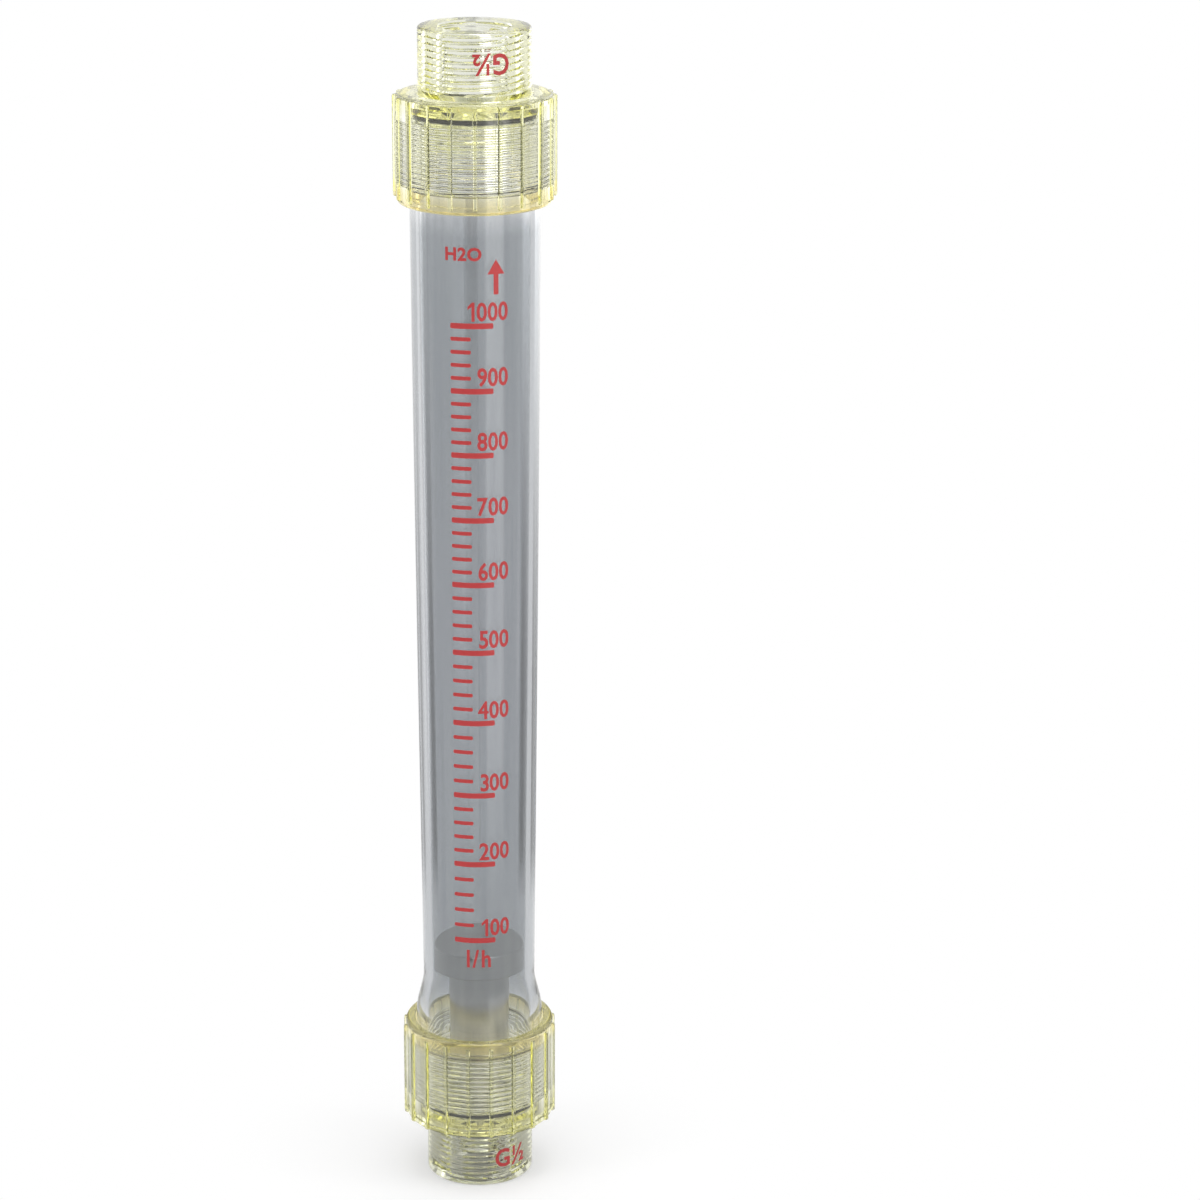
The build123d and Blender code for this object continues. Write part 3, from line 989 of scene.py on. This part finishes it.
world = bpy.data.worlds.new("studio")
bpy.context.scene.world = world
world.use_nodes = True
room = world.node_tree
room.nodes.clear()
seen = add_node(room, "ShaderNodeLightPath").outputs
bounced = add_node(
    room, "ShaderNodeMath", {0: seen["Is Glossy Ray"], 1: seen["Is Transmission Ray"]},
    operation="MAXIMUM",
)
shown = add_node(
    room, "ShaderNodeMath", {0: seen["Is Camera Ray"], 1: bounced.outputs[0]},
    operation="MAXIMUM",
)
strength = add_node(
    room, "ShaderNodeMapRange", {"Value": shown.outputs[0], "To Min": ROOM_CAST, "To Max": 1.0}
)
# Behind the camera and above it the room is dimmer, as gloss and clear plastic show it
towards_dark = add_node(
    room, "ShaderNodeVectorMath",
    {0: add_node(room, "ShaderNodeTexCoord").outputs["Generated"], 1: DARK_SIDE},
    operation="DOT_PRODUCT",
)
darkness = add_node(room, "ShaderNodeMapRange", {
    "Value": towards_dark.outputs["Value"], "From Min": DARK_FROM, "From Max": DARK_FULL,
    "To Max": DARKNESS,
}, interpolation_type="SMOOTHSTEP")
dark_seen = add_node(
    room, "ShaderNodeMath", {0: darkness.outputs[0], 1: bounced.outputs[0]},
    operation="MULTIPLY",
)
left_over = add_node(
    room, "ShaderNodeMath", {0: 1.0, 1: dark_seen.outputs[0]}, operation="SUBTRACT"
)
level = add_node(
    room, "ShaderNodeMath", {0: strength.outputs[0], 1: left_over.outputs[0]},
    operation="MULTIPLY",
)
sky = add_node(
    room, "ShaderNodeBackground", {"Color": (1, 1, 1, 1), "Strength": level.outputs[0]}
)
world_end = add_node(room, "ShaderNodeOutputWorld")
room.links.new(sky.outputs[0], world_end.inputs["Surface"])

FLOOR_HALF = 3.0         # metres
FLOOR_GAP = 0.1          # below the foot
FOOT_SHADE = 0.85
floor_mesh = bpy.data.meshes.new("floor")
floor_mesh.from_pydata(
    [(x, y, -FLOOR_GAP * MM) for x, y in (
        (-FLOOR_HALF, -FLOOR_HALF), (FLOOR_HALF, -FLOOR_HALF),
        (FLOOR_HALF, FLOOR_HALF), (-FLOOR_HALF, FLOOR_HALF),
    )],
    [], [(0, 1, 2, 3)],
)
floor = new_object("floor", floor_mesh)
floor_paint = bpy.data.materials.new("white_paper")
floor_paint.use_nodes = True
sheet = floor_paint.node_tree
sheet.nodes.clear()
paper = add_node(sheet, "ShaderNodeBsdfDiffuse", {"Color": (0.92, 0.92, 0.92, 1)})
from_foot = add_node(
    sheet, "ShaderNodeVectorMath",
    {0: add_node(sheet, "ShaderNodeTexCoord").outputs["Object"]}, operation="LENGTH",
).outputs["Value"]
# Up to 40 mm from the foot, and less so up to 70 mm, clear plastic shows the paper in shade
near_foot = add_node(
    sheet, "ShaderNodeMapRange",
    {"Value": from_foot, "From Min": 0.04, "From Max": 0.07, "To Min": FOOT_SHADE, "To Max": 0.0},
)
shade = add_node(sheet, "ShaderNodeMath", {
    0: near_foot.outputs[0],
    1: add_node(sheet, "ShaderNodeLightPath").outputs["Is Transmission Ray"],
}, operation="MULTIPLY")
lit = add_node(sheet, "ShaderNodeMath", {0: 1.0, 1: shade.outputs[0]}, operation="SUBTRACT")
far_white = add_node(
    sheet, "ShaderNodeEmission", {"Color": (1, 1, 1, 1), "Strength": lit.outputs[0]}
)
# The paper is partly white at the foot, and fades into full white from 20 to 80 mm away
faded = add_node(
    sheet, "ShaderNodeMapRange",
    {"Value": from_foot, "From Min": 0.02, "From Max": 0.08, "To Min": 0.45, "To Max": 1.0},
)
blend = add_node(
    sheet, "ShaderNodeMixShader",
    {0: faded.outputs[0], 1: paper.outputs[0], 2: far_white.outputs[0]},
)
floor_end = add_node(sheet, "ShaderNodeOutputMaterial")
sheet.links.new(blend.outputs[0], floor_end.inputs["Surface"])
floor_mesh.materials.append(floor_paint)


def softbox(name, place, width, height, power):
    """A rectangular lamp that faces the meter's middle."""
    data = bpy.data.lights.new(name, "AREA")
    data.shape = "RECTANGLE"
    data.size = width
    data.size_y = height
    data.energy = power
    lamp = new_object(name, data)
    lamp.location = place
    aim = Vector((0, 0, OVERALL / 2 * MM))
    lamp.rotation_euler = (aim - Vector(place)).to_track_quat("-Z", "Y").to_euler()
    lamp.visible_camera = lamp.visible_glossy = lamp.visible_transmission = False
    return lamp


softbox("left_strip", (-0.9, -0.5, 0.4), width=0.25, height=1.2, power=4)
softbox("right_strip", (0.9, -0.3, 0.4), width=0.2, height=1.2, power=3)
top_box = softbox("top_box", (0.1, -0.2, 1.3), width=0.8, height=0.8, power=5)
top_box.visible_glossy = top_box.visible_transmission = True

# Tall lit screens stand close around the meter. Only the gloss and the clear plastic see them, as
# the streaks along the tube. The outer two at the back are dim at the foot, which draws the
# tube's dark edges, and the one between them is dimmer at the top.
SCREEN_AWAY = 0.2        # metres from the axis
SCREEN_TALL = 1.25       # of the meter's height
FOOT_TO = 0.2            # the foot's strength holds up to this share of that height
TOP_FROM = 0.9           # and the top's from this one
SOLID = 0.6              # of the half width; the rest fades out
SHORT_FADE = 0.03        # metres above the floor
LONG_FADE = 0.09


def screen(name, azimuth, width, foot_strength, top_strength, fade=SHORT_FADE):
    """A screen to the right of the front by azimuth degrees, and width degrees wide."""
    half = SCREEN_AWAY * radians(width) / 2
    tall = OVERALL * SCREEN_TALL * MM
    mesh = bpy.data.meshes.new(name)
    mesh.from_pydata([(-half, 0, 0), (half, 0, 0), (half, 0, tall), (-half, 0, tall)], [], [(0, 1, 2, 3)])
    made = new_object(name, mesh)
    made.matrix_world = (
        Matrix.Rotation(radians(azimuth), 4, "Z") @ Matrix.Translation((0, -SCREEN_AWAY, 0))
    )
    made.visible_camera = made.visible_shadow = made.visible_diffuse = False
    cloth = bpy.data.materials.new(name)
    cloth.use_nodes = True
    cloth.cycles.emission_sampling = "NONE"
    tree = cloth.node_tree
    tree.nodes.clear()
    place = add_node(
        tree, "ShaderNodeSeparateXYZ",
        {"Vector": add_node(tree, "ShaderNodeTexCoord").outputs["Object"]},
    )
    strength = add_node(tree, "ShaderNodeMapRange", {
        "Value": place.outputs["Z"], "From Min": FOOT_TO * OVERALL * MM,
        "From Max": TOP_FROM * OVERALL * MM, "To Min": foot_strength, "To Max": top_strength,
    }, interpolation_type="SMOOTHSTEP")
    glow = add_node(tree, "ShaderNodeEmission", {"Strength": strength.outputs[0]})
    aside = add_node(tree, "ShaderNodeMath", {0: place.outputs["X"]}, operation="ABSOLUTE")
    cover = add_node(tree, "ShaderNodeMapRange", {
        "Value": aside.outputs[0], "From Min": half * SOLID, "From Max": half, "To Min": 1, "To Max": 0,
    }, interpolation_type="SMOOTHSTEP")
    # It fades in above the floor, so that no hard edge shows through the tube from the other side
    risen = add_node(
        tree, "ShaderNodeMapRange", {"Value": place.outputs["Z"], "From Max": fade},
        interpolation_type="SMOOTHSTEP",
    )
    whole = add_node(
        tree, "ShaderNodeMath", {0: cover.outputs[0], 1: risen.outputs[0]}, operation="MULTIPLY"
    )
    seen_through = add_node(tree, "ShaderNodeBsdfTransparent")
    blend = add_node(
        tree, "ShaderNodeMixShader",
        {0: whole.outputs[0], 1: seen_through.outputs[0], 2: glow.outputs[0]},
    )
    end = add_node(tree, "ShaderNodeOutputMaterial")
    tree.links.new(blend.outputs[0], end.inputs["Surface"])
    mesh.materials.append(cloth)


screen("front_screen", azimuth=33, width=42, foot_strength=2.3, top_strength=2.6, fade=LONG_FADE)
screen("left_screen", azimuth=-119, width=12, foot_strength=1.8, top_strength=2.2, fade=LONG_FADE)
screen("back_right_screen", azimuth=152, width=26, foot_strength=0.25, top_strength=2.0)
screen("back_left_screen", azimuth=-154, width=18, foot_strength=0.35, top_strength=1.1)
screen("middle_screen", azimuth=-179, width=3.4, foot_strength=1.0, top_strength=0.66)

bpy.context.scene.view_settings.view_transform = "Standard"
# Light crosses many faces of clear plastic in the threaded ends
cycles = bpy.context.scene.cycles
cycles.max_bounces = 32
cycles.transmission_bounces = 32
cycles.glossy_bounces = 12
